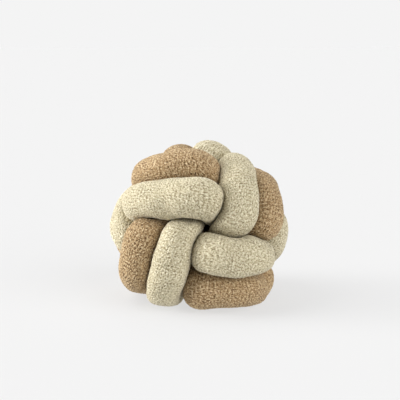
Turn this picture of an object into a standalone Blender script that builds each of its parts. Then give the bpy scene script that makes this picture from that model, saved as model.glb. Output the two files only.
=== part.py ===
# Knot cushion: two stuffed cloth tubes, one cream and one tan. They lie side by side and are woven
# together through a ball knot of three leads and four bights. Each tube is a closed loop.
# Metres, +Z up. The knot's front face looks toward -Y. The origin lies on the surface that the
# ball rests on, under the middle of the ball.

import math
from collections import namedtuple

import bpy
import numpy as np

# Driving dimensions
BALL_WIDTH = 0.300          # left to right, over everything
TUBE_LENGTH = 2.178         # centre line of each closed tube, drawn up
TUBE_RADIUS = 0.032         # where nothing presses on the tube
STRAND_SPACING = 0.054      # centre line to centre line where two lengths press together
CLEARANCE = 0.0017          # between the cloth of two lengths that touch
REST_HEIGHT = -0.1225       # the surface below the knot's middle
REST_FLOOR = -0.098         # the lowest that a centre line sags

# The knot
LEADS = 3
BIGHTS = 4
OPEN_RADIUS = 0.160         # of the loose weave, before it is drawn up
OPEN_DIP = 0.060            # over and under the loose weave's middle surface
BIGHT_LATITUDE = 62.0       # degrees, where the loose weave turns back
PAIR_OFFSET = 0.032         # each tube to its side of the path that the two share
LINE_BLUR = 1.2             # points, fairing of the finished centre lines
POINTS = 160                # along each centre line

# How the knot is drawn up
DRAW_ROUNDS = 1200
DRAW_CLOSING = 0.6          # share of the rounds in which the ball closes in
SETTLE_ROUNDS = 800
SETTLE_CLOSING = 0.8
SETTLE_PASSES = 4           # contacts looked at in each round of settling
SETTLE_STRENGTH = 0.15      # share of the way to its place that a length moves in a round
CORE_SPACING = 0.45         # of STRAND_SPACING, that is left at the ball's middle
CONTACT_EVERY = 15          # rounds between two searches for lengths that touch
CONTACT_REACH = 1.25        # of STRAND_SPACING, how far that search looks
OWN_REACH = 1.3             # of STRAND_SPACING, how near along a tube is no contact
FLOOR_PULL = 0.5            # of what lies below the floor is lifted in a round

# The ball that the centre lines are drawn up into
ROUND_SHELL = np.array([0.114, 0.114, 0.114])
SAGGED_SHELL = np.array([0.114, 0.114, 0.109])
OPEN_SHELL = np.array([0.223, 0.223, 0.223])
FULLNESS_BELOW = 3.3        # exponent of the shell below its middle, where a ball is 2
FACE_TILT = 10.0            # degrees that the front face looks up
FACE_TURN = 4.0             # degrees that the front face looks to the right

# The solids
RINGS = 168
SIDES = 22
FINE_POINTS = 336           # along a centre line when two lengths share out the space
PRESSED_POWER = 6           # how squarely the cloth turns from a pressed side to a free one
STUFFING = 0.93             # cross-section kept when pressed, against the free circle
MOST_SWELL = 1.12           # the free radius of a length that is squeezed
OVER_SHARE = 0.45           # what a length gains on another, for each metre that it lies further out
OVER_MOST = 0.011           # and the most that it gains
BEND_SHARE = 0.85           # of the way to the next section that the inside of a bend may fill
CORE_SWELL = 0.72           # how much more the tubes swell toward the middle of the ball
OWN_SKIP = 1.15             # radii along a tube within which it doesn't press on itself
REST_MARGIN = 0.002         # how far the cloth would sag through the surface, before it is flat
LIMIT_SHARE = 0.995         # of the way to its limit that a side may reach
BEND_STEPS = (-3, -2, -1, 1, 2, 3)
SWELL_BLUR = 2.0            # rings
RING_BLUR = 0.8             # rings
SIDE_BLUR = 0.6             # sides

# How the lengths in front lie, seen along the front face from the ball's middle. "outward" is the
# side on which a length passes the middle, in degrees from the right. "forward" of 90 places its
# depth instead. Three places follow, each as metres along the length and metres outward.
Lie = namedtuple("Lie", "first last tube outward forward near near_out crest crest_out far far_out")
LIES = [
    Lie(111, 131, 0, 90, 0, -0.050, 0.034, 0.035, 0.045, 0.100, 0.026),
    Lie(109, 113, 0, 0, 0, 0.020, 0.033, 0.030, 0.019, 0.042, 0.009),
    Lie(127, 133, 0, 180, 0, -0.045, 0.085, -0.033, 0.089, -0.010, 0.078),
    Lie(112, 129, 1, 90, 0, -0.018, 0.078, 0.035, 0.099, 0.087, 0.082),
    Lie(123, 130, 1, 180, 0, 0.074, 0.070, 0.086, 0.073, 0.096, 0.064),
    Lie(111, 128, 1, 90, 90, -0.020, 0.048, 0.025, 0.063, 0.083, 0.024),
    Lie(-9, 11, 0, 0, 0, -0.030, 0.027, 0.042, 0.062, 0.095, 0.032),
    Lie(-8, 9, 1, 0, 0, -0.045, 0.090, 0.033, 0.113, 0.088, 0.092),
    Lie(151, 154, 1, 90, 0, -0.105, 0.009, -0.085, 0.007, -0.055, -0.006),
    Lie(31, 51, 0, -90, 0, -0.030, 0.022, 0.050, 0.051, 0.100, 0.042),
    Lie(33, 39, 0, -90, 90, -0.010, 0.054, 0.006, 0.082, 0.028, 0.103),
    Lie(47, 54, 0, 0, 0, -0.080, 0.083, -0.055, 0.084, -0.020, 0.081),
    Lie(32, 49, 1, -90, 0, -0.045, 0.092, 0.050, 0.108, 0.104, 0.104),
    Lie(42, 52, 1, 0, 0, -0.100, 0.084, -0.085, 0.099, -0.060, 0.100),
    Lie(49, 54, 1, 0, 90, -0.097, 0.010, -0.085, 0.004, -0.068, -0.006),
    Lie(71, 91, 0, 180, 0, -0.030, 0.010, 0.045, 0.038, 0.105, 0.056),
    Lie(72, 89, 1, 180, 0, -0.040, 0.078, 0.058, 0.099, 0.092, 0.097),
    Lie(15, 29, 0, 180, 0, -0.050, 0.100, -0.020, 0.113, 0.015, 0.108),
    Lie(15, 28, 0, 180, 90, -0.050, -0.024, -0.020, 0.000, 0.015, 0.024),
    Lie(23, 28, 1, 180, 0, 0.000, 0.104, 0.025, 0.116, 0.045, 0.110),
    Lie(23, 28, 1, 180, 90, 0.000, -0.050, 0.025, -0.036, 0.045, -0.022),
    Lie(95, 99, 0, -90, 0, 0.050, 0.058, 0.085, 0.060, 0.108, 0.052),
    Lie(96, 107, 0, 0, 0, -0.066, 0.097, -0.034, 0.116, 0.000, 0.108),
    Lie(96, 107, 0, 0, 90, -0.066, -0.048, -0.034, -0.022, -0.004, 0.000),
    Lie(62, 71, 0, 90, 0, -0.050, 0.093, -0.010, 0.106, 0.025, 0.102),
    Lie(63, 69, 1, 90, 0, 0.015, 0.103, 0.040, 0.113, 0.070, 0.105),
]

Tube = namedtuple("Tube", "name colour")
TUBES = [
    Tube("cream_tube", (0.604, 0.539, 0.402, 1.0)),
    Tube("tan_tube", (0.318, 0.216, 0.128, 1.0)),
]


def turn(axis, degrees):
    c = math.cos(math.radians(degrees))
    s = math.sin(math.radians(degrees))
    if axis == "x":
        return np.array([[1, 0, 0], [0, c, -s], [0, s, c]])
    return np.array([[c, -s, 0], [s, c, 0], [0, 0, 1]])


def unit(vectors):
    return vectors / np.linalg.norm(vectors, axis=-1, keepdims=True)


def woven_path(t):
    """The loose weave: three times round while it swings between the faces four times."""
    latitude = math.radians(BIGHT_LATITUDE) * np.cos(BIGHTS * t)
    radius = OPEN_RADIUS + OPEN_DIP * np.sin(2 * BIGHTS * t)
    return np.stack([radius * np.cos(latitude) * np.cos(LEADS * t),
                     radius * np.cos(latitude) * np.sin(LEADS * t),
                     radius * np.sin(latitude)], axis=1)


def loose_pair():
    """Both centre lines, (tube, point, xyz), one on each side of the woven path."""
    t = np.arange(POINTS) / POINTS * 2 * math.pi
    step = 1e-4
    middle = woven_path(t)
    ahead = unit(woven_path(t + step) - woven_path(t - step))
    side = unit(np.cross(unit(middle), ahead))
    return np.stack([middle + PAIR_OFFSET * side, middle - PAIR_OFFSET * side])


def near_pairs(points, reach, along):
    """Pairs of points closer than reach, leaving out those within along points of each other."""
    apart = points[:, None] - points[None]
    first, second = np.where(np.triu((apart ** 2).sum(2) < reach ** 2, 1))
    steps = np.abs(first % POINTS - second % POINTS)
    steps = np.minimum(steps, POINTS - steps)
    keep = (first // POINTS != second // POINTS) | (steps > along)
    return first[keep], second[keep]


def push_apart(points, first, second, shell, stiffness=0.8):
    """Moves touching lengths apart. Near the ball's middle they squash to part of their spacing."""
    apart = points[first] - points[second]
    distance = np.linalg.norm(apart, axis=1)
    depth = np.linalg.norm((points[first] + points[second]) / 2 / shell, axis=1)
    spacing = STRAND_SPACING * (CORE_SPACING + (1 - CORE_SPACING) * np.clip(depth, 0, 1))
    touch = distance < spacing
    share = 0.5 * stiffness * (spacing[touch] - distance[touch]) / distance[touch]
    move = share[:, None] * apart[touch]
    total = len(points)
    push = np.stack([np.bincount(first[touch], move[:, axis], total)
                     - np.bincount(second[touch], move[:, axis], total) for axis in range(3)], axis=1)
    count = np.bincount(first[touch], minlength=total) + np.bincount(second[touch], minlength=total)
    return points + push / np.sqrt(np.maximum(count, 1))[:, None]


def even_out(lines, spacing, pull=0.5, bend=0.3):
    """Evens the spacing along each centre line, then fairs its bends."""
    step = np.roll(lines, -1, 1) - lines
    length = np.linalg.norm(step, axis=2, keepdims=True)
    slack = 0.5 * pull * (length - spacing) / length * step
    lines = lines + slack - np.roll(slack, 1, 1)
    kink = 0.5 * (np.roll(lines, 1, 1) + np.roll(lines, -1, 1)) - lines
    return lines + bend * (kink - 0.5 * (np.roll(kink, 1, 1) + np.roll(kink, -1, 1)))


def lay_in_place(lines, right, up, strength, fade=0.012):
    """Draws the lengths in front toward their places, across their own direction only."""
    forward = np.cross(right, up)
    for lie in LIES:
        angle = math.radians(lie.outward)
        lift = math.radians(lie.forward)
        out = math.cos(lift) * (math.cos(angle) * right + math.sin(angle) * up)
        out = out + math.sin(lift) * forward
        along = -math.sin(angle) * right + math.cos(angle) * up
        points = np.arange(lie.first, lie.last + 1) % POINTS
        at = lines[lie.tube, points] @ along
        now = lines[lie.tube, points] @ out
        bow = np.polyfit([lie.near, lie.crest, lie.far], [lie.near_out, lie.crest_out, lie.far_out], 2)
        wanted = np.polyval(bow, np.clip(at, lie.near, lie.far))
        weight = np.clip((at - lie.near) / fade + 1, 0, 1) * np.clip((lie.far - at) / fade + 1, 0, 1)
        lines[lie.tube, points] += (strength * weight * (wanted - now))[:, None] * out
    return lines


def keep_inside(points, shell, fullness):
    """Draws back half of what lies beyond the shell, which is fuller below its middle."""
    power = 2 + (fullness - 2) * np.clip(-points[:, 2] / (0.5 * shell[2]), 0, 1)
    out = (np.abs(points / shell) ** power[:, None]).sum(1) ** (1 / power)
    return np.where((out > 1)[:, None], points * (1 - 0.5 * (out[:, None] - 1) / out[:, None]), points)


def draw_up(lines, rounds, from_shell, to_shell, closing, from_length,
            passes=1, fullness=2.0, floor=None, face=None):
    """Draws both tubes up into the shell, which closes over the first part of the rounds.

    Afterwards the two directions of face lay the lengths in front in their places.
    """
    points = lines.reshape(-1, 3).copy()
    for number in range(rounds):
        closed = min(1.0, number / (rounds * closing))
        shell = from_shell * (1 - closed) + to_shell * closed
        spacing = (from_length * (1 - closed) + TUBE_LENGTH * closed) / POINTS
        if number % CONTACT_EVERY == 0:
            skip = int(OWN_REACH * STRAND_SPACING * POINTS / TUBE_LENGTH)
            first, second = near_pairs(points, STRAND_SPACING * CONTACT_REACH, skip)
        for _ in range(passes):
            points = push_apart(points, first, second, shell)
        lines = even_out(points.reshape(lines.shape), spacing)
        if face is None:
            lines = lines - lines.mean((0, 1))
        else:
            lines = lay_in_place(lines, face[0], face[1], SETTLE_STRENGTH * closed)
        points = keep_inside(lines.reshape(-1, 3), shell, fullness)
        if floor is not None:
            points[:, 2] += FLOOR_PULL * np.maximum(floor - points[:, 2], 0)
    return points.reshape(lines.shape)


def centre_lines():
    """The two centre lines as they lie in the finished ball, with the front face toward -Y."""
    loose = loose_pair()
    loose_length = np.linalg.norm(np.roll(loose, -1, 1) - loose, axis=2).sum(1).mean()
    tight = draw_up(loose, DRAW_ROUNDS, OPEN_SHELL, ROUND_SHELL, DRAW_CLOSING, loose_length)
    tilt = turn("x", -FACE_TILT)
    stand_up = np.array([[1.0, 0.0, 0.0], [0.0, 0.0, -1.0], [0.0, 1.0, 0.0]])
    facing = tight @ (tilt @ turn("z", FACE_TURN) @ stand_up).T
    face = (tilt @ np.array([1.0, 0.0, 0.0]), tilt @ np.array([0.0, 0.0, 1.0]))
    return draw_up(facing, SETTLE_ROUNDS, ROUND_SHELL, SAGGED_SHELL, SETTLE_CLOSING, TUBE_LENGTH,
                   passes=SETTLE_PASSES, fullness=FULLNESS_BELOW, floor=REST_FLOOR, face=face)


def spaced_evenly(line, count):
    """The closed smooth curve through line, at count points evenly spaced along it."""
    waves = np.fft.rfft(line, axis=0)
    waves[-1] *= 0.5
    dense = 8 * len(line)
    padded = np.zeros((dense // 2 + 1, 3), complex)
    padded[:len(waves)] = waves
    curve = np.fft.irfft(padded, dense, axis=0) * dense / len(line)
    travel = np.concatenate([[0], np.cumsum(np.linalg.norm(np.roll(curve, -1, 0) - curve, axis=1))])
    places = np.arange(count) / count * travel[-1]
    curve = np.concatenate([curve, curve[:1]])
    return np.stack([np.interp(places, travel, curve[:, axis]) for axis in range(3)], axis=1)


def faired(line, blur):
    """The closed line with waves shorter than a few times blur points taken out."""
    waves = np.fft.rfft(line, axis=0)
    fade = np.exp(-2 * (math.pi * blur * np.fft.rfftfreq(len(line))) ** 2)
    return np.fft.irfft(waves * fade[:, None], len(line), axis=0)


def ray_directions(line, ahead):
    """Directions of SIDES rays from each point, square to the line, the first one outward."""
    outward = unit(line - (line * ahead).sum(1, keepdims=True) * ahead)
    side = np.cross(ahead, outward)
    angle = np.arange(SIDES) / SIDES * 2 * math.pi
    return (np.cos(angle)[None, :, None] * outward[:, None]
            + np.sin(angle)[None, :, None] * side[:, None])


def bend_limits(line, ahead, rays):
    """How far each ray goes until it would cross the section of a ring close by, inside a bend."""
    limits = np.full(rays.shape[:2], 1.0)
    for step in BEND_STEPS:
        toward = ((np.roll(line, -step, 0) - line) * np.roll(ahead, -step, 0)).sum(1)[:, None]
        slope = (rays * np.roll(ahead, -step, 0)[:, None]).sum(2)
        crossing = np.where(slope * toward > 1e-9, toward / np.where(slope == 0, 1, slope), 1.0)
        limits = np.minimum(limits, BEND_SHARE * crossing)
    return limits


def ray_limits(line, rays, others, own):
    """How far each ray goes until it is as near another length as its own, less the clearance.

    A length that lies further out gains on the one beneath, by OVER_SHARE of the difference.
    """
    limits = np.full(rays.shape[:2], 1.0)
    nearest_own = OWN_SKIP * TUBE_RADIUS / TUBE_LENGTH * FINE_POINTS
    for tube, other in enumerate(others):
        to_other = other[None] - line[:, None]
        squared = (to_other ** 2).sum(2)
        if tube == own:
            place = np.arange(len(line))[:, None] * FINE_POINTS / len(line)
            steps = np.abs(np.arange(FINE_POINTS)[None] - place)
            squared[np.minimum(steps, FINE_POINTS - steps) < nearest_own] = 9.0
        above = np.linalg.norm(other, axis=1)[None] - np.linalg.norm(line, axis=1)[:, None]
        gap = CLEARANCE + np.clip(OVER_SHARE * above, -OVER_MOST, OVER_MOST)
        for ray in range(rays.shape[1]):
            toward = np.maximum((to_other * rays[:, ray][:, None]).sum(2) + gap, 1e-6)
            limit = (squared - gap ** 2) / (2 * toward)
            limits[:, ray] = np.minimum(limits[:, ray], limit.min(1))
    drop = np.maximum(-rays[..., 2], 1e-3)
    height = (line[:, 2] - REST_HEIGHT + REST_MARGIN)[:, None]
    return np.minimum(limits, height / drop)


def smoothed(values, along, around):
    """Blurs a closed grid of values by so many rings and sides."""
    rows = np.fft.fftfreq(values.shape[0])[:, None] * along
    columns = np.fft.fftfreq(values.shape[1])[None] * around
    return np.real(np.fft.ifft2(np.fft.fft2(values) * np.exp(-2 * math.pi ** 2 * (rows ** 2 + columns ** 2))))


def pressed_tube(line, others, own):
    """Points of one tube, (ring, side, xyz): round where free, flat where a neighbour presses."""
    ahead = unit(np.roll(line, -1, 0) - np.roll(line, 1, 0))
    rays = ray_directions(line, ahead)
    limits = np.minimum(ray_limits(line, rays, others, own), bend_limits(line, ahead, rays))
    inward = np.clip(-(rays * unit(line)[:, None]).sum(2), 0, 1)
    swell = 1 + CORE_SWELL * inward ** 2
    free = np.full((len(line), 1), TUBE_RADIUS)
    for _ in range(3):
        reach = (limits ** -PRESSED_POWER + (free * swell) ** -PRESSED_POWER) ** (-1 / PRESSED_POWER)
        area = 0.5 * math.sin(2 * math.pi / SIDES) * (reach * np.roll(reach, -1, 1)).sum(1, keepdims=True)
        wanted = STUFFING * math.pi * TUBE_RADIUS ** 2
        free = np.clip(free * np.sqrt(wanted / area), TUBE_RADIUS, TUBE_RADIUS * MOST_SWELL)
        free = smoothed(free, SWELL_BLUR, 0.0)
    reach = (limits ** -PRESSED_POWER + (free * swell) ** -PRESSED_POWER) ** (-1 / PRESSED_POWER)
    reach = np.minimum(smoothed(reach, RING_BLUR, SIDE_BLUR), LIMIT_SHARE * limits)
    return line[:, None] + reach[..., None] * rays


def tube_surfaces():
    """The points of both tubes, at their true size and place."""
    lines = [faired(line, LINE_BLUR) for line in centre_lines()]
    fine = [spaced_evenly(line, FINE_POINTS) for line in lines]
    surfaces = np.stack([pressed_tube(spaced_evenly(line, RINGS), fine, own)
                         for own, line in enumerate(lines)])
    surfaces[..., 2] = np.maximum(surfaces[..., 2], REST_HEIGHT)
    low = surfaces.min((0, 1, 2))
    high = surfaces.max((0, 1, 2))
    middle = (low + high) / 2
    middle[2] = REST_HEIGHT
    return (surfaces - middle) * BALL_WIDTH / (high[0] - low[0])


def cloth(name, colour):
    material = bpy.data.materials.new(name)
    material.use_nodes = True
    shader = material.node_tree.nodes["Principled BSDF"]
    shader.inputs["Base Color"].default_value = colour
    shader.inputs["Roughness"].default_value = 0.95
    shader.inputs["Metallic"].default_value = 0.0
    return material


def add_tube(tube, surface, collection):
    """One closed tube: a loft through its rings, joined end to end."""
    ring, side = np.meshgrid(np.arange(RINGS), np.arange(SIDES), indexing="ij")
    next_ring = (ring + 1) % RINGS
    next_side = (side + 1) % SIDES
    corners = np.stack([ring * SIDES + side, ring * SIDES + next_side,
                        next_ring * SIDES + next_side, next_ring * SIDES + side], axis=-1)
    mesh = bpy.data.meshes.new(tube.name)
    mesh.from_pydata(surface.reshape(-1, 3).tolist(), [], corners.reshape(-1, 4).tolist())
    mesh.shade_smooth()
    mesh.materials.append(cloth(tube.name.replace("tube", "cloth"), tube.colour))
    collection.objects.link(bpy.data.objects.new(tube.name, mesh))


for old in list(bpy.data.objects):
    bpy.data.objects.remove(old, do_unlink=True)
knot_cushion = bpy.data.collections.new("knot_cushion")
bpy.context.scene.collection.children.link(knot_cushion)
for tube, surface in zip(TUBES, tube_surfaces()):
    add_tube(tube, surface, knot_cushion)
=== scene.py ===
# A ball-shaped knot cushion: one cream and one tan tube of bouclé knit, stuffed, and woven side by
# side through the knot. Metres, Z up, and the front looks toward -Y.

import math
from collections import namedtuple

import bpy
import numpy as np
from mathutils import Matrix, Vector


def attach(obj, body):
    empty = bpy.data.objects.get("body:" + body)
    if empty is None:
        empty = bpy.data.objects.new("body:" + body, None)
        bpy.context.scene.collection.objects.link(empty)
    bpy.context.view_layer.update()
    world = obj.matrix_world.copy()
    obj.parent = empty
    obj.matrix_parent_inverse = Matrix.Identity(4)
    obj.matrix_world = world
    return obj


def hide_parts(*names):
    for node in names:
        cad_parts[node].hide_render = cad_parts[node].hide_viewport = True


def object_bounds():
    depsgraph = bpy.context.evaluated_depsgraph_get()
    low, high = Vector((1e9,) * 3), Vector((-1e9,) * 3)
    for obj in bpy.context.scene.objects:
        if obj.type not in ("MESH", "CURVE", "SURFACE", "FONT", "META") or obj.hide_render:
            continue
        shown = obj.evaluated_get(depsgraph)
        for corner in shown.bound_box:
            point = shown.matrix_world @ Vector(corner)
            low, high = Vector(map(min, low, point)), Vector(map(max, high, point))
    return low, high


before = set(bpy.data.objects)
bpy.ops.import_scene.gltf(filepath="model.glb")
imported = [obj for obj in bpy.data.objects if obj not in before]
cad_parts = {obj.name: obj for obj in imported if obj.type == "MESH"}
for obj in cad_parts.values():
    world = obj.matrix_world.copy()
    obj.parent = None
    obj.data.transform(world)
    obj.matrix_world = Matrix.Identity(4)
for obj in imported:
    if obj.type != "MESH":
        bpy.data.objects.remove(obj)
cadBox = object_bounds()
print("the frame is loaded")

# The camera stands off in front and a little above, with a long lens, so that the ball keeps its
# shape
cameraView = {
    "lens": 85.0,          # mm
    "filmWidth": 36.0,     # mm
    "distance": 1.592,     # from the point it looks at
    "elevation": 10.0,     # degrees above level
    "aimAbove": 0.034,     # that point, over the middle of the ball's box
}


def addCamera(view):
    # back is the direction from the aim to the camera, elevation degrees above -Y
    aim = Vector((0, 0, (cadBox[0].z + cadBox[1].z) / 2 + view["aimAbove"]))
    tilt = math.radians(view["elevation"])
    back = Vector((0, -math.cos(tilt), math.sin(tilt)))
    data = bpy.data.cameras.new("camera")
    data.lens = view["lens"]
    data.sensor_width = view["filmWidth"]
    camera = bpy.data.objects.new("camera", data)
    camera.location = aim + back * view["distance"]
    camera.rotation_mode = "QUATERNION"
    camera.rotation_quaternion = (-back).to_track_quat("-Z", "Y")
    bpy.context.scene.collection.objects.link(camera)
    bpy.context.scene.camera = camera


addCamera(cameraView)

# How the knot is drawn up. Both tubes start as a loose weave of three leads and four bights.
knot = {
    "leads": 3,
    "bights": 4,
    "points": 160,             # along each centre line
    "openRadius": 0.160,
    "openDip": 0.060,          # over and under the loose weave's middle surface
    "bightLatitude": 62.0,     # degrees
    "pairOffset": 0.032,       # each tube to its side of the shared path
    "tubeLength": 2.178,
    "tubeRadius": 0.032,
    "strandSpacing": 0.054,    # between centre lines of two lengths that press together
    "coreSpacing": 0.45,       # of strandSpacing, left at the ball's middle
    "contactEvery": 15,        # rounds
    "contactReach": 1.25,      # of strandSpacing
    "ownReach": 1.3,           # of strandSpacing, along the same tube
    "openShell": np.array([0.223, 0.223, 0.223]),
    "roundShell": np.array([0.114, 0.114, 0.114]),
    "saggedShell": np.array([0.114, 0.114, 0.109]),
    "drawRounds": 1200,
    "drawClosing": 0.6,        # share of the rounds in which the ball closes in
    "settleRounds": 800,
    "settleClosing": 0.8,
    "settlePasses": 4,
    "settleStrength": 0.15,
    "fullnessBelow": 3.3,      # exponent of the shell below its middle
    "restFloor": -0.098,       # the lowest that a centre line sags
    "restHeight": -0.1225,     # the surface below the knot's middle
    "floorPull": 0.5,
    "faceTilt": 10.0,          # degrees that the front face looks up
    "faceTurn": 4.0,           # degrees that it looks to the right
    "lineBlur": 1.2,           # points
    "seamAt": 134,             # the point where both tubes' ends meet, hidden in the ball
}

# How the lengths in front lie, seen along the front face: which points of which tube, the side on
# which they pass the middle (degrees from the right; forward of 90 places their depth instead),
# and three places as metres along and metres outward.
Lie = namedtuple("Lie", "first last tube outward forward near nearOut crest crestOut far farOut")
lies = [
    Lie(111, 131, 0, 90, 0, -0.050, 0.034, 0.035, 0.045, 0.100, 0.026),
    Lie(109, 113, 0, 0, 0, 0.020, 0.033, 0.030, 0.019, 0.042, 0.009),
    Lie(127, 133, 0, 180, 0, -0.045, 0.085, -0.033, 0.089, -0.010, 0.078),
    Lie(112, 129, 1, 90, 0, -0.018, 0.078, 0.035, 0.099, 0.087, 0.082),
    Lie(123, 130, 1, 180, 0, 0.074, 0.070, 0.086, 0.073, 0.096, 0.064),
    Lie(111, 128, 1, 90, 90, -0.020, 0.048, 0.025, 0.063, 0.083, 0.024),
    Lie(-9, 11, 0, 0, 0, -0.030, 0.027, 0.042, 0.062, 0.095, 0.032),
    Lie(-8, 9, 1, 0, 0, -0.045, 0.090, 0.033, 0.113, 0.088, 0.092),
    Lie(151, 154, 1, 90, 0, -0.105, 0.009, -0.085, 0.007, -0.055, -0.006),
    Lie(31, 51, 0, -90, 0, -0.030, 0.022, 0.050, 0.051, 0.100, 0.042),
    Lie(33, 39, 0, -90, 90, -0.010, 0.054, 0.006, 0.082, 0.028, 0.103),
    Lie(47, 54, 0, 0, 0, -0.080, 0.083, -0.055, 0.084, -0.020, 0.081),
    Lie(32, 49, 1, -90, 0, -0.045, 0.092, 0.050, 0.108, 0.104, 0.104),
    Lie(42, 52, 1, 0, 0, -0.100, 0.084, -0.085, 0.099, -0.060, 0.100),
    Lie(49, 54, 1, 0, 90, -0.097, 0.010, -0.085, 0.004, -0.068, -0.006),
    Lie(71, 91, 0, 180, 0, -0.030, 0.010, 0.045, 0.038, 0.105, 0.056),
    Lie(72, 89, 1, 180, 0, -0.040, 0.078, 0.058, 0.099, 0.092, 0.097),
    Lie(15, 29, 0, 180, 0, -0.050, 0.100, -0.020, 0.113, 0.015, 0.108),
    Lie(15, 28, 0, 180, 90, -0.050, -0.024, -0.020, 0.000, 0.015, 0.024),
    Lie(23, 28, 1, 180, 0, 0.000, 0.104, 0.025, 0.116, 0.045, 0.110),
    Lie(23, 28, 1, 180, 90, 0.000, -0.050, 0.025, -0.036, 0.045, -0.022),
    Lie(95, 99, 0, -90, 0, 0.050, 0.058, 0.085, 0.060, 0.108, 0.052),
    Lie(96, 107, 0, 0, 0, -0.066, 0.097, -0.034, 0.116, 0.000, 0.108),
    Lie(96, 107, 0, 0, 90, -0.066, -0.048, -0.034, -0.022, -0.004, 0.000),
    Lie(62, 71, 0, 90, 0, -0.050, 0.093, -0.010, 0.106, 0.025, 0.102),
    Lie(63, 69, 1, 90, 0, 0.015, 0.103, 0.040, 0.113, 0.070, 0.105),
]


def turnAbout(axis, degrees):
    # the matrix that turns points about x or z
    c, s = math.cos(math.radians(degrees)), math.sin(math.radians(degrees))
    if axis == "x":
        return np.array([[1, 0, 0], [0, c, -s], [0, s, c]])
    return np.array([[c, -s, 0], [s, c, 0], [0, 0, 1]])


def unitVectors(vectors):
    return vectors / np.linalg.norm(vectors, axis=-1, keepdims=True)


def wovenPath(t):
    # longitude goes round leads times while latitude swings between the faces bights times, and the
    # radius dips under and over twice in each swing
    latitude = math.radians(knot["bightLatitude"]) * np.cos(knot["bights"] * t)
    radius = knot["openRadius"] + knot["openDip"] * np.sin(2 * knot["bights"] * t)
    longitude = knot["leads"] * t
    return np.stack([radius * np.cos(latitude) * np.cos(longitude),
                     radius * np.cos(latitude) * np.sin(longitude),
                     radius * np.sin(latitude)], axis=1)


def loosePair():
    # the woven path, moved to either side along the cross product of outward and ahead
    t = np.arange(knot["points"]) / knot["points"] * 2 * math.pi
    step = 1e-4
    middle = wovenPath(t)
    ahead = unitVectors(wovenPath(t + step) - wovenPath(t - step))
    side = unitVectors(np.cross(unitVectors(middle), ahead))
    return np.stack([middle + knot["pairOffset"] * side, middle - knot["pairOffset"] * side])


def touchingPairs(points):
    # pairs of points nearer than the contact reach, without those close by along the same tube
    count = knot["points"]
    reach = knot["strandSpacing"] * knot["contactReach"]
    along = int(knot["ownReach"] * knot["strandSpacing"] * count / knot["tubeLength"])
    apart = points[:, None] - points[None]
    first, second = np.where(np.triu((apart ** 2).sum(2) < reach ** 2, 1))
    steps = np.abs(first % count - second % count)
    steps = np.minimum(steps, count - steps)
    keep = (first // count != second // count) | (steps > along)
    return first[keep], second[keep]


def pushApart(points, first, second, shell, stiffness=0.8):
    # each touching pair moves apart by a share of what it lacks of the spacing, which falls off
    # toward the ball's middle, where the tubes are squashed
    apart = points[first] - points[second]
    distance = np.linalg.norm(apart, axis=1)
    depth = np.linalg.norm((points[first] + points[second]) / 2 / shell, axis=1)
    core = knot["coreSpacing"]
    spacing = knot["strandSpacing"] * (core + (1 - core) * np.clip(depth, 0, 1))
    touch = distance < spacing
    share = 0.5 * stiffness * (spacing[touch] - distance[touch]) / distance[touch]
    move = share[:, None] * apart[touch]
    total = len(points)
    push = np.stack([np.bincount(first[touch], move[:, axis], total)
                     - np.bincount(second[touch], move[:, axis], total)
                     for axis in range(3)], axis=1)
    count = np.bincount(first[touch], minlength=total) + np.bincount(second[touch], minlength=total)
    return points + push / np.sqrt(np.maximum(count, 1))[:, None]


def evenOut(lines, spacing, pull=0.5, bend=0.3):
    # steps longer or shorter than spacing give and take along the line, then each kink is spread
    step = np.roll(lines, -1, 1) - lines
    length = np.linalg.norm(step, axis=2, keepdims=True)
    slack = 0.5 * pull * (length - spacing) / length * step
    lines = lines + slack - np.roll(slack, 1, 1)
    kink = 0.5 * (np.roll(lines, 1, 1) + np.roll(lines, -1, 1)) - lines
    return lines + bend * (kink - 0.5 * (np.roll(kink, 1, 1) + np.roll(kink, -1, 1)))


def layInPlace(lines, right, up, strength, fade=0.012):
    # a length's outward coordinate moves toward the parabola through its three places
    forward = np.cross(right, up)
    for lie in lies:
        angle = math.radians(lie.outward)
        lift = math.radians(lie.forward)
        out = math.cos(lift) * (math.cos(angle) * right + math.sin(angle) * up)
        out = out + math.sin(lift) * forward
        along = -math.sin(angle) * right + math.cos(angle) * up
        points = np.arange(lie.first, lie.last + 1) % knot["points"]
        at = lines[lie.tube, points] @ along
        now = lines[lie.tube, points] @ out
        bow = np.polyfit([lie.near, lie.crest, lie.far], [lie.nearOut, lie.crestOut, lie.farOut], 2)
        wanted = np.polyval(bow, np.clip(at, lie.near, lie.far))
        weight = np.clip((at - lie.near) / fade + 1, 0, 1)
        weight = weight * np.clip((lie.far - at) / fade + 1, 0, 1)
        lines[lie.tube, points] += (strength * weight * (wanted - now))[:, None] * out
    return lines


def keepInside(points, shell, fullness):
    # half of what lies beyond the shell is drawn back; below the middle the shell's exponent rises
    power = 2 + (fullness - 2) * np.clip(-points[:, 2] / (0.5 * shell[2]), 0, 1)
    out = ((np.abs(points / shell) ** power[:, None]).sum(1) ** (1 / power))[:, None]
    return np.where(out > 1, points * (1 - 0.5 * (out - 1) / out), points)


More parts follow.
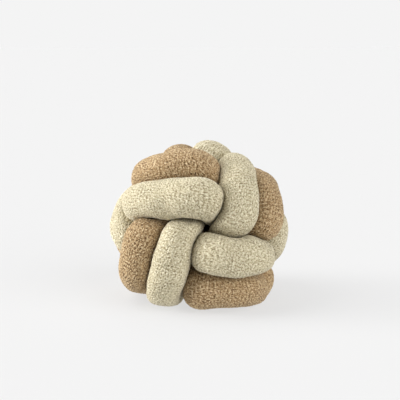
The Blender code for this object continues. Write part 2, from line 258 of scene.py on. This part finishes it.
def drawUp(lines, rounds, fromShell, toShell, closing, fromLength,
           passes=1, fullness=2.0, floor=None, face=None):
    # round after round: push apart, even out, lay in place, keep inside the closing shell
    points = lines.reshape(-1, 3).copy()
    for number in range(rounds):
        closed = min(1.0, number / (rounds * closing))
        shell = fromShell * (1 - closed) + toShell * closed
        spacing = (fromLength * (1 - closed) + knot["tubeLength"] * closed) / knot["points"]
        if number % knot["contactEvery"] == 0:
            first, second = touchingPairs(points)
        for _ in range(passes):
            points = pushApart(points, first, second, shell)
        lines = evenOut(points.reshape(lines.shape), spacing)
        if face is None:
            lines = lines - lines.mean((0, 1))
        else:
            lines = layInPlace(lines, face[0], face[1], knot["settleStrength"] * closed)
        points = keepInside(lines.reshape(-1, 3), shell, fullness)
        if floor is not None:
            points[:, 2] += knot["floorPull"] * np.maximum(floor - points[:, 2], 0)
    return points.reshape(lines.shape)


def centreLines():
    # the loose weave is drawn up, stood with its face toward -Y, and settled on the floor
    loose = loosePair()
    looseLength = np.linalg.norm(np.roll(loose, -1, 1) - loose, axis=2).sum(1).mean()
    tight = drawUp(loose, knot["drawRounds"], knot["openShell"], knot["roundShell"],
                   knot["drawClosing"], looseLength)
    tilt = turnAbout("x", -knot["faceTilt"])
    standUp = np.array([[1.0, 0.0, 0.0], [0.0, 0.0, -1.0], [0.0, 1.0, 0.0]])
    facing = tight @ (tilt @ turnAbout("z", knot["faceTurn"]) @ standUp).T
    face = (tilt @ np.array([1.0, 0.0, 0.0]), tilt @ np.array([0.0, 0.0, 1.0]))
    return drawUp(facing, knot["settleRounds"], knot["roundShell"], knot["saggedShell"],
                  knot["settleClosing"], knot["tubeLength"], passes=knot["settlePasses"],
                  fullness=knot["fullnessBelow"], floor=knot["restFloor"], face=face)


# How a tube's cross-section gives way to its neighbours
pressing = {
    "rings": 336,            # cross-sections in which the space is shared out
    "sides": 44,             # rays in each
    "clearance": 0.0006,     # between the cloth of two lengths that touch
    "power": 6,              # how squarely the cloth turns from a pressed side to a free one
    "stuffing": 0.93,        # of the free circle's area, kept when pressed
    "mostSwell": 1.12,       # the free radius of a squeezed length
    "coreSwell": 0.72,       # more toward the ball's middle
    "overShare": 0.45,       # what a length gains on another, for each metre it lies further out
    "overMost": 0.011,
    "bendShare": 0.88,       # of the way to the next section that a bend's inside may fill
    "bendReach": 0.039,      # along the tube, how far that looks
    "ownSkip": 1.15,         # radii along a tube within which it doesn't press on itself
    "restMargin": 0.002,
    "limitShare": 0.995,
    "rayMost": 1.0,          # how far a ray reaches that nothing stops
    "swellRounds": 3,
    "swellBlur": 4.0,        # rings
    "ringBlur": 1.2,         # rings
    "sideBlur": 0.9,         # sides
}


def waveUp(values, count, axis):
    # a closed row of values at count places instead, by adding no new waves
    size = values.shape[axis]
    waves = np.moveaxis(np.fft.rfft(values, axis=axis), axis, 0)
    if size % 2 == 0:
        waves[-1] *= 0.5
    padded = np.zeros((count // 2 + 1,) + waves.shape[1:], complex)
    padded[:len(waves)] = waves
    return np.moveaxis(np.fft.irfft(padded, count, axis=0) * count / size, 0, axis)


def spacedEvenly(line, count, finer=8):
    # the closed smooth curve through line, at count places evenly spaced along it
    curve = waveUp(line, finer * len(line), 0)
    travel = np.concatenate([[0], np.cumsum(np.linalg.norm(np.roll(curve, -1, 0) - curve, axis=1))])
    places = np.arange(count) / count * travel[-1]
    curve = np.concatenate([curve, curve[:1]])
    return np.stack([np.interp(places, travel, curve[:, axis]) for axis in range(3)], axis=1)


def blurred(values, along, around):
    # a closed grid of values, each frequency faded as a Gaussian blur of that many cells fades it
    rows = np.fft.fftfreq(values.shape[0])[:, None] * along
    columns = np.fft.fftfreq(values.shape[1])[None] * around
    fade = np.exp(-2 * math.pi ** 2 * (rows ** 2 + columns ** 2))
    return np.real(np.fft.ifft2(np.fft.fft2(values) * fade))


def crossFrames(line):
    # ahead along the line, outward from the ball's middle and square to it, and sideways
    ahead = unitVectors(np.roll(line, -1, 0) - np.roll(line, 1, 0))
    outward = unitVectors(line - (line * ahead).sum(1, keepdims=True) * ahead)
    return ahead, outward, np.cross(ahead, outward)


def raysAt(outward, side, angles):
    # the direction at each angle from outward toward the side
    return np.cos(angles)[..., None] * outward[:, None] + np.sin(angles)[..., None] * side[:, None]


def bendLimits(line, ahead, rays):
    # each ray stops short of the planes of the sections close by, which it would cross inside a
    # bend
    limits = np.full(rays.shape[:2], pressing["rayMost"])
    most = round(pressing["bendReach"] / knot["tubeLength"] * len(line))
    for step in [s for s in range(-most, most + 1) if s != 0]:
        plane = np.roll(ahead, -step, 0)
        toward = ((np.roll(line, -step, 0) - line) * plane).sum(1)[:, None]
        slope = (rays * plane[:, None]).sum(2)
        crossing = np.where(slope * toward > 1e-9, toward / np.where(slope == 0, 1, slope),
                            pressing["rayMost"])
        limits = np.minimum(limits, pressing["bendShare"] * crossing)
    return limits


def rayLimits(line, rays, lines, own):
    # each ray stops where it is as near another length's centre line as its own, less the
    # clearance, and a length that lies further out gains a share of the difference
    limits = np.full(rays.shape[:2], pressing["rayMost"])
    skip = pressing["ownSkip"] * knot["tubeRadius"] / knot["tubeLength"] * len(line)
    for tube, other in enumerate(lines):
        toOther = other[None] - line[:, None]
        squared = (toOther ** 2).sum(2)
        if tube == own:
            steps = np.abs(np.arange(len(other))[None] - np.arange(len(line))[:, None])
            squared[np.minimum(steps, len(line) - steps) < skip] = np.inf
        above = np.linalg.norm(other, axis=1)[None] - np.linalg.norm(line, axis=1)[:, None]
        gain = np.clip(pressing["overShare"] * above, -pressing["overMost"], pressing["overMost"])
        gap = pressing["clearance"] + gain
        for ray in range(rays.shape[1]):
            toward = np.maximum((toOther * rays[:, ray][:, None]).sum(2) + gap, 1e-6)
            meeting = ((squared - gap ** 2) / (2 * toward)).min(1)
            limits[:, ray] = np.minimum(limits[:, ray], meeting)
    drop = np.maximum(-rays[..., 2], 1e-3)
    height = (line[:, 2] - knot["restHeight"] + pressing["restMargin"])[:, None]
    return np.minimum(limits, height / drop)


def pressedReach(line, lines, own):
    # how far the cloth stands from the centre line, at each section and ray: the soft minimum of
    # the limit and of a free radius, which swells until the section has its share of stuffing
    ahead, outward, side = crossFrames(line)
    angles = np.arange(pressing["sides"]) / pressing["sides"] * 2 * math.pi
    rays = raysAt(outward, side, np.broadcast_to(angles, (len(line), pressing["sides"])))
    limits = np.minimum(rayLimits(line, rays, lines, own), bendLimits(line, ahead, rays))
    inward = np.clip(-(rays * unitVectors(line)[:, None]).sum(2), 0, 1)
    swell = 1 + pressing["coreSwell"] * inward ** 2
    power, radius = pressing["power"], knot["tubeRadius"]
    free = np.full((len(line), 1), radius)
    for _ in range(pressing["swellRounds"]):
        reach = (limits ** -power + (free * swell) ** -power) ** (-1 / power)
        wedge = 0.5 * math.sin(2 * math.pi / pressing["sides"])
        area = wedge * (reach * np.roll(reach, -1, 1)).sum(1, keepdims=True)
        wanted = pressing["stuffing"] * math.pi * radius ** 2
        free = np.clip(free * np.sqrt(wanted / area), radius, radius * pressing["mostSwell"])
        free = blurred(free, pressing["swellBlur"], 0.0)
    reach = (limits ** -power + (free * swell) ** -power) ** (-1 / power)
    reach = blurred(reach, pressing["ringBlur"], pressing["sideBlur"])
    return np.minimum(reach, pressing["limitShare"] * limits)


# The fine surface of each tube. Its points stand closer on the outside of the ball, where they
# show.
skin = {
    "rings": 1040,
    "sides": 94,
    "finer": 8,              # how much finer the reach is worked out than it is shared out
    "hiddenShare": 0.20,     # points along the tube in the core, against outside
    "coreRadius": 0.078,     # centre lines nearer the ball's middle are hidden
    "outerRadius": 0.098,
    "outwardPull": 0.50,     # how much closer the points stand on the outward side
}

# The looped pile: curls of yarn that stand up from the knit
pile = {
    "waves": 120,            # that are summed
    "curlWave": 0.0039,      # between two curls
    "curlSpread": 0.30,      # of curlWave, either way
    "curlFlatness": 0.3,     # how much wider the curls are than the gaps
    "curlHeight": 0.0009,    # either side of the middle
    "lumpWave": 0.040,       # the filling's soft unevenness
    "lumpHeight": 0.0005,
    "seed": 11,
}


def curlHeights(along, around, rng):
    # waves of nearly one length, in random directions over the tube's length and girth and each a
    # whole number of times round both, summed to a spread of 1 and flattened between -1 and 1
    length = pile["curlWave"] * (1 + pile["curlSpread"] * rng.uniform(-1, 1, pile["waves"]))
    way = rng.uniform(0, 2 * math.pi, pile["waves"])
    phases = rng.uniform(0, 2 * math.pi, pile["waves"])
    down = np.round(knot["tubeLength"] / length * np.cos(way))
    across = np.round(2 * math.pi * knot["tubeRadius"] / length * np.sin(way))
    total = np.zeros(along.shape)
    for wave in range(pile["waves"]):
        total += np.cos(2 * math.pi * (down[wave] * along + across[wave] * around) + phases[wave])
    return np.tanh(total * math.sqrt(2 / pile["waves"]) + pile["curlFlatness"])


def randomWaves(points, wave, rng):
    # plane waves of one length, each in a random direction and phase, summed to a spread of 1
    ways = unitVectors(rng.standard_normal((pile["waves"], 3))) * 2 * math.pi / wave
    phases = rng.uniform(0, 2 * math.pi, pile["waves"])
    return np.cos(points @ ways.T + phases).sum(-1) * math.sqrt(2 / pile["waves"])


def readChart(chart, along, around):
    # the chart's value at shares of its length and girth, between its four nearest cells
    row, column = along * chart.shape[0], around * chart.shape[1]
    up, left = np.floor(row).astype(int), np.floor(column).astype(int)
    a, b = row - up, column - left
    up0, up1 = up % chart.shape[0], (up + 1) % chart.shape[0]
    left0, left1 = left % chart.shape[1], (left + 1) % chart.shape[1]
    top = chart[up0, left0] * (1 - b) + chart[up0, left1] * b
    bottom = chart[up1, left0] * (1 - b) + chart[up1, left1] * b
    return top * (1 - a) + bottom * a


def rowsAt(values, places):
    # the rows of a closed array at places between them
    low = np.floor(places).astype(int)
    share = (places - low).reshape((-1,) + (1,) * (values.ndim - 1))
    return values[low % len(values)] * (1 - share) + values[(low + 1) % len(values)] * share


def skinGrid(line, reach):
    # the fine grid of points on one tube, each at centre line plus reach times direction, and each
    # point's shares of the length and girth
    dense = waveUp(line, skin["finer"] * len(line), 0)
    denseReach = waveUp(waveUp(reach, len(dense), 0), skin["finer"] * reach.shape[1], 1)
    shown = np.clip((np.linalg.norm(dense, axis=1) - skin["coreRadius"])
                    / (skin["outerRadius"] - skin["coreRadius"]), 0, 1)
    weight = skin["hiddenShare"] + (1 - skin["hiddenShare"]) * shown * shown * (3 - 2 * shown)
    travel = np.concatenate([[0], np.cumsum(weight)])
    wanted = np.arange(skin["rings"]) / skin["rings"] * travel[-1]
    places = np.interp(wanted, travel, np.arange(len(dense) + 1))
    frames = [rowsAt(part, places) for part in (dense,) + crossFrames(dense)[1:]]
    turns = math.pi + np.arange(skin["sides"]) / skin["sides"] * 2 * math.pi
    angles = turns - skin["outwardPull"] * np.sin(turns)
    around = np.broadcast_to((angles / (2 * math.pi)) % 1, (skin["rings"], skin["sides"]))
    along = np.broadcast_to((places / len(dense))[:, None], around.shape)
    rays = raysAt(frames[1], frames[2], np.broadcast_to(angles, around.shape))
    grid = frames[0][:, None] + readChart(denseReach, along, around)[..., None] * rays
    return grid, along, around


def outwardNormals(grid):
    # across the grid's two directions, at each point
    along = np.roll(grid, -1, 0) - np.roll(grid, 1, 0)
    around = np.roll(grid, -1, 1) - np.roll(grid, 1, 1)
    return unitVectors(np.cross(around, along))


def closedTubeMesh(name, grid, along, around, curls):
    # quads between the rings and sides, joined end to end both ways
    rings, sides = grid.shape[:2]
    ring, side = np.meshgrid(np.arange(rings), np.arange(sides), indexing="ij")
    nextRing, nextSide = (ring + 1) % rings, (side + 1) % sides
    corners = np.stack([ring * sides + side, ring * sides + nextSide,
                        nextRing * sides + nextSide, nextRing * sides + side], axis=-1)
    mesh = bpy.data.meshes.new(name)
    mesh.vertices.add(rings * sides)
    mesh.vertices.foreach_set("co", grid.reshape(-1).astype(np.float32))
    mesh.loops.add(4 * rings * sides)
    mesh.loops.foreach_set("vertex_index", corners.reshape(-1).astype(np.int32))
    mesh.polygons.add(rings * sides)
    mesh.polygons.foreach_set("loop_start", np.arange(0, 4 * rings * sides, 4, dtype=np.int32))
    mesh.update(calc_edges=True)
    # metres along the tube and round it from its hidden side, so that the knit keeps its size
    u = along[:, 0] * knot["tubeLength"]
    v = (around[0] - around[0, 0]) % 1 * 2 * math.pi * knot["tubeRadius"]
    uNext = np.append(u[1:], knot["tubeLength"])
    vNext = np.append(v[1:], 2 * math.pi * knot["tubeRadius"])
    uv = np.empty((rings, sides, 4, 2), np.float32)
    uv[:, :, 0, 0] = uv[:, :, 1, 0] = u[:, None]
    uv[:, :, 2, 0] = uv[:, :, 3, 0] = uNext[:, None]
    uv[:, :, 0, 1] = uv[:, :, 3, 1] = v[None]
    uv[:, :, 1, 1] = uv[:, :, 2, 1] = vNext[None]
    mesh.uv_layers.new(name="metres").data.foreach_set("uv", uv.reshape(-1))
    height = mesh.attributes.new("curlHeight", "FLOAT", "POINT")
    height.data.foreach_set("value", curls.reshape(-1).astype(np.float32))
    mesh.shade_smooth()
    mesh.validate()
    return mesh


def linearColour(hexText):
    # sRGB hex to linear, by the standard curve
    values = [int(hexText[i:i + 2], 16) / 255 for i in (0, 2, 4)]
    linear = [v / 12.92 if v <= 0.04045 else ((v + 0.055) / 1.055) ** 2.4 for v in values]
    return tuple(linear) + (1.0,)


def addNode(tree, kind, inputs=None, **settings):
    # one node, its settings, and its inputs as values or as the sockets that feed them
    node = tree.nodes.new(kind)
    for name, value in settings.items():
        setattr(node, name, value)
    for name, value in (inputs or {}).items():
        if isinstance(value, bpy.types.NodeSocket):
            tree.links.new(value, node.inputs[name])
        else:
            node.inputs[name].default_value = value
    return node


# Bouclé knit: a soft yarn in small curls, hardly brushed. It is matt. Its colour goes with the
# height: painted light on top of the curls, and painted shade, deeper and warmer in colour, down
# between them.
boucle = {
    "curlShare": 0.24,       # of the height, from the curls that are in the mesh
    "twistSize": 0.0022,     # the yarn's turns inside a curl
    "twistShare": 1.80,
    "rowPitch": 0.0037,      # the knit's rows, really 2.9 mm apart, drawn coarser so that they show
    "rowShare": 0.07,
    "toneSize": 0.045,       # slow changes of tone
    "toneDepth": 0.06,
    "bumpDepth": 0.0014,
    "bumpStrength": 1.0,
    "toneLow": 0.3,          # the tone's noise, where it is darkest
    "toneHigh": 0.7,
    "shadedGapAt": 0.10,           # the heights at which the three colours stand: painted shade in the gaps, the yarn, painted light on the tips
    "yarnAt": 0.55,
    "litTipAt": 1.00,
    "roughness": 0.95,
    "specular": 0.2,
    "sheen": 0.30,
    "sheenRoughness": 0.4,
}


def boucleKnit(name, gap, yarn, litTip, sheenTint):
    # the height is the curls, the yarn's turns and the knit's rows, each by its share, and the
    # colour goes with the height, with painted shade down in the gaps and painted light on the tops
    material = bpy.data.materials.new(name)
    material.use_nodes = True
    tree = material.node_tree
    shader = tree.nodes["Principled BSDF"]
    place = addNode(tree, "ShaderNodeTexCoord")
    flat = addNode(tree, "ShaderNodeUVMap", uv_map="metres")
    twist = addNode(tree, "ShaderNodeTexNoise", {"Vector": place.outputs["Object"],
                    "Scale": 1 / boucle["twistSize"], "Detail": 1.0, "Roughness": 0.6})
    split = addNode(tree, "ShaderNodeSeparateXYZ", {"Vector": flat.outputs["UV"]})
    turns = addNode(tree, "ShaderNodeMath", {0: split.outputs["X"],
                    1: 2 * math.pi / boucle["rowPitch"]}, operation="MULTIPLY")
    rows = addNode(tree, "ShaderNodeMath", {0: turns.outputs[0]}, operation="SINE")
    rowed = addNode(tree, "ShaderNodeMath", {0: rows.outputs[0], 1: boucle["rowShare"],
                    2: 0.5 - 0.5 * boucle["twistShare"]}, operation="MULTIPLY_ADD")
    knitted = addNode(tree, "ShaderNodeMath", {0: twist.outputs["Fac"], 1: boucle["twistShare"],
                      2: rowed.outputs[0]}, operation="MULTIPLY_ADD")
    curls = addNode(tree, "ShaderNodeAttribute", attribute_name="curlHeight")
    level = addNode(tree, "ShaderNodeMath", {0: curls.outputs["Fac"], 1: boucle["curlShare"],
                    2: knitted.outputs[0]}, operation="MULTIPLY_ADD")
    # painted shade and light: the ramp darkens the colour down between the curls, turns and rows,
    # and lightens it on their tops
    ramp = addNode(tree, "ShaderNodeValToRGB", {"Fac": level.outputs[0]})
    ramp.color_ramp.elements[0].position = boucle["shadedGapAt"]
    ramp.color_ramp.elements[0].color = linearColour(gap)
    ramp.color_ramp.elements[1].position = boucle["litTipAt"]
    ramp.color_ramp.elements[1].color = linearColour(litTip)
    ramp.color_ramp.elements.new(boucle["yarnAt"]).color = linearColour(yarn)
    tone = addNode(tree, "ShaderNodeTexNoise", {"Vector": place.outputs["Object"],
                   "Scale": 1 / boucle["toneSize"], "Detail": 2.0})
    toneRange = addNode(tree, "ShaderNodeMapRange", {"Value": tone.outputs["Fac"],
                        "From Min": boucle["toneLow"], "From Max": boucle["toneHigh"],
                        "To Min": 1 - boucle["toneDepth"], "To Max": 1.0})
    colour = addNode(tree, "ShaderNodeMix", {0: 1.0, 6: ramp.outputs["Color"],
                     7: toneRange.outputs["Result"]}, data_type="RGBA", blend_type="MULTIPLY")
    bump = addNode(tree, "ShaderNodeBump", {"Height": knitted.outputs[0],
                   "Strength": boucle["bumpStrength"], "Distance": boucle["bumpDepth"]})
    tree.links.new(colour.outputs[2], shader.inputs["Base Color"])
    tree.links.new(bump.outputs["Normal"], shader.inputs["Normal"])
    shader.inputs["Roughness"].default_value = boucle["roughness"]
    shader.inputs["Specular IOR Level"].default_value = boucle["specular"]
    shader.inputs["Sheen Weight"].default_value = boucle["sheen"]
    shader.inputs["Sheen Roughness"].default_value = boucle["sheenRoughness"]
    shader.inputs["Sheen Tint"].default_value = linearColour(sheenTint)
    return material


creamTube = {
    "name": "creamTube",
    "node": "cream_tube",
    "slot": "cream_boucle",
    "material": "creamBoucleKnit",
    # the gap colour is painted shade down between the curls and the tip colour painted light on
    # their tops; the yarn colour is the cream's own
    "gap": "8A7B5C",
    "yarn": "CABF9F",
    "litTip": "F0E9D0",
    "sheenTint": "FFF8E8",
    "fill": 0.85,            # how tightly it is stuffed
}

tanTube = {
    "name": "tanTube",
    "node": "tan_tube",
    "slot": "tan_boucle",
    "material": "tanBoucleKnit",
    # the gap colour is painted shade down between the curls and the tip colour painted light on
    # their tops; the yarn colour is the tan's own
    "gap": "5B422B",
    "yarn": "AA8D66",
    "litTip": "DDC8A3",
    "sheenTint": "F8E8CE",
    "fill": 0.85,
}


def fairedLine(line):
    # each of the closed line's waves fades as a Gaussian blur of lineBlur points fades it, and the
    # line is then taken from the seam on, evenly spaced
    waves = np.fft.rfft(line, axis=0)
    fade = np.exp(-2 * (math.pi * knot["lineBlur"] * np.fft.rfftfreq(len(line))) ** 2)
    faired = np.fft.irfft(waves * fade[:, None], len(line), axis=0)
    return spacedEvenly(np.roll(faired, -knot["seamAt"], 0), pressing["rings"])


def addPiece(settings, mesh):
    # one stuffed tube, in place of its node
    piece = bpy.data.objects.new(settings["name"], mesh)
    bpy.context.scene.collection.objects.link(piece)
    mesh.materials.append(boucleKnit(settings["material"], settings["gap"], settings["yarn"],
                                     settings["litTip"], settings["sheenTint"]))
    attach(piece, "root")
    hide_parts(settings["node"])
    print(settings["name"], "has its pile")


def addTubes(tubes):
    # both grids are laid out together, so that one scale and one place hold for the whole knot;
    # then each point moves out along its normal by the pile's height there
    lines = [fairedLine(line) for line in centreLines()]
    print("the knot is drawn up")
    laid = [skinGrid(line, pressedReach(line, lines, own)) for own, line in enumerate(lines)]
    print("the tubes are pressed together")
    grids = np.stack([grid for grid, along, around in laid])
    grids[..., 2] = np.maximum(grids[..., 2], knot["restHeight"])
    low, high = grids.min((0, 1, 2)), grids.max((0, 1, 2))
    middle = (low + high) / 2
    middle[2] = knot["restHeight"]
    grids = (grids - middle) * (cadBox[1].x - cadBox[0].x) / (high[0] - low[0])
    rng = np.random.default_rng(pile["seed"])
    for settings, grid, (_, along, around) in zip(tubes, grids, laid):
        curls = curlHeights(along, around, rng)
        rise = pile["curlHeight"] * curls
        rise = rise + pile["lumpHeight"] * randomWaves(grid, pile["lumpWave"], rng)
        surface = grid + rise[..., None] * outwardNormals(grid)
        surface[..., 2] = np.maximum(surface[..., 2], 0.0)
        addPiece(settings, closedTubeMesh(settings["name"], surface, along, around, curls))


addTubes([creamTube, tanTube])

# The studio: a wide floor of opal acrylic that is lit from inside, which keeps it pale and its
# shadows faint, a sky that is bright only near the horizon, and four soft lights far off. The
# strongest is low on the left.
studio = {
    "floorSize": 60.0,
    "floorColour": "7C7C7C",
    "floorGlow": 0.63,
    "horizon": 0.905,        # the sky's brightness, up to the height low
    "zenith": 0.02,          # and from the height high on
    "low": 0.08,             # both as the z of a direction
    "high": 0.35,
}

Light = namedtuple("Light", "name power spread source")
lights = [
    Light("left", 4.9, 32.0, (-1.0, 0.04, 0.10)),
    Light("topLeft", 2.0, 50.0, (-0.7, 0.0, 0.8)),
    Light("top", 0.9, 50.0, (0.0, 0.5, 1.0)),
    Light("right", 2.4, 60.0, (0.7, -0.55, 0.5)),
]


def addFloor(settings):
    # a flat square as wide as floorSize
    half = settings["floorSize"] / 2
    mesh = bpy.data.meshes.new("floor")
    mesh.from_pydata([(-half, -half, 0), (half, -half, 0), (half, half, 0), (-half, half, 0)], [],
                     [(0, 1, 2, 3)])
    floor = bpy.data.objects.new("floor", mesh)
    bpy.context.scene.collection.objects.link(floor)
    acrylic = bpy.data.materials.new("litOpalAcrylic")
    acrylic.use_nodes = True
    shader = acrylic.node_tree.nodes["Principled BSDF"]
    shader.inputs["Base Color"].default_value = linearColour(settings["floorColour"])
    shader.inputs["Roughness"].default_value = 1.0
    shader.inputs["Specular IOR Level"].default_value = 0.0
    shader.inputs["Emission Color"].default_value = (1.0, 1.0, 1.0, 1.0)
    shader.inputs["Emission Strength"].default_value = settings["floorGlow"]
    mesh.materials.append(acrylic)


def addFarLight(name, power, spread, source):
    # power watts for each square metre, from a disc spread degrees across in source's direction
    data = bpy.data.lights.new(name, "SUN")
    data.energy = power
    data.angle = math.radians(spread)
    light = bpy.data.objects.new(name, data)
    light.location = Vector(source) * 2
    light.rotation_mode = "QUATERNION"
    light.rotation_quaternion = (-Vector(source)).to_track_quat("-Z", "Y")
    bpy.context.scene.collection.objects.link(light)


def addSky(settings):
    # the brightness falls from horizon to zenith between two heights of the direction's z
    sky = bpy.data.worlds.new("sky")
    sky.use_nodes = True
    tree = sky.node_tree
    way = addNode(tree, "ShaderNodeTexCoord")
    split = addNode(tree, "ShaderNodeSeparateXYZ", {"Vector": way.outputs["Generated"]})
    strength = addNode(tree, "ShaderNodeMapRange", {"Value": split.outputs["Z"],
                       "From Min": settings["low"], "From Max": settings["high"],
                       "To Min": settings["horizon"], "To Max": settings["zenith"]})
    background = tree.nodes["Background"]
    background.inputs["Color"].default_value = (1.0, 1.0, 1.0, 1.0)
    tree.links.new(strength.outputs["Result"], background.inputs["Strength"])
    bpy.context.scene.world = sky


addFloor(studio)
for light in lights:
    addFarLight(*light)
addSky(studio)
bpy.context.scene.view_settings.view_transform = "Standard"
print("the studio is lit")
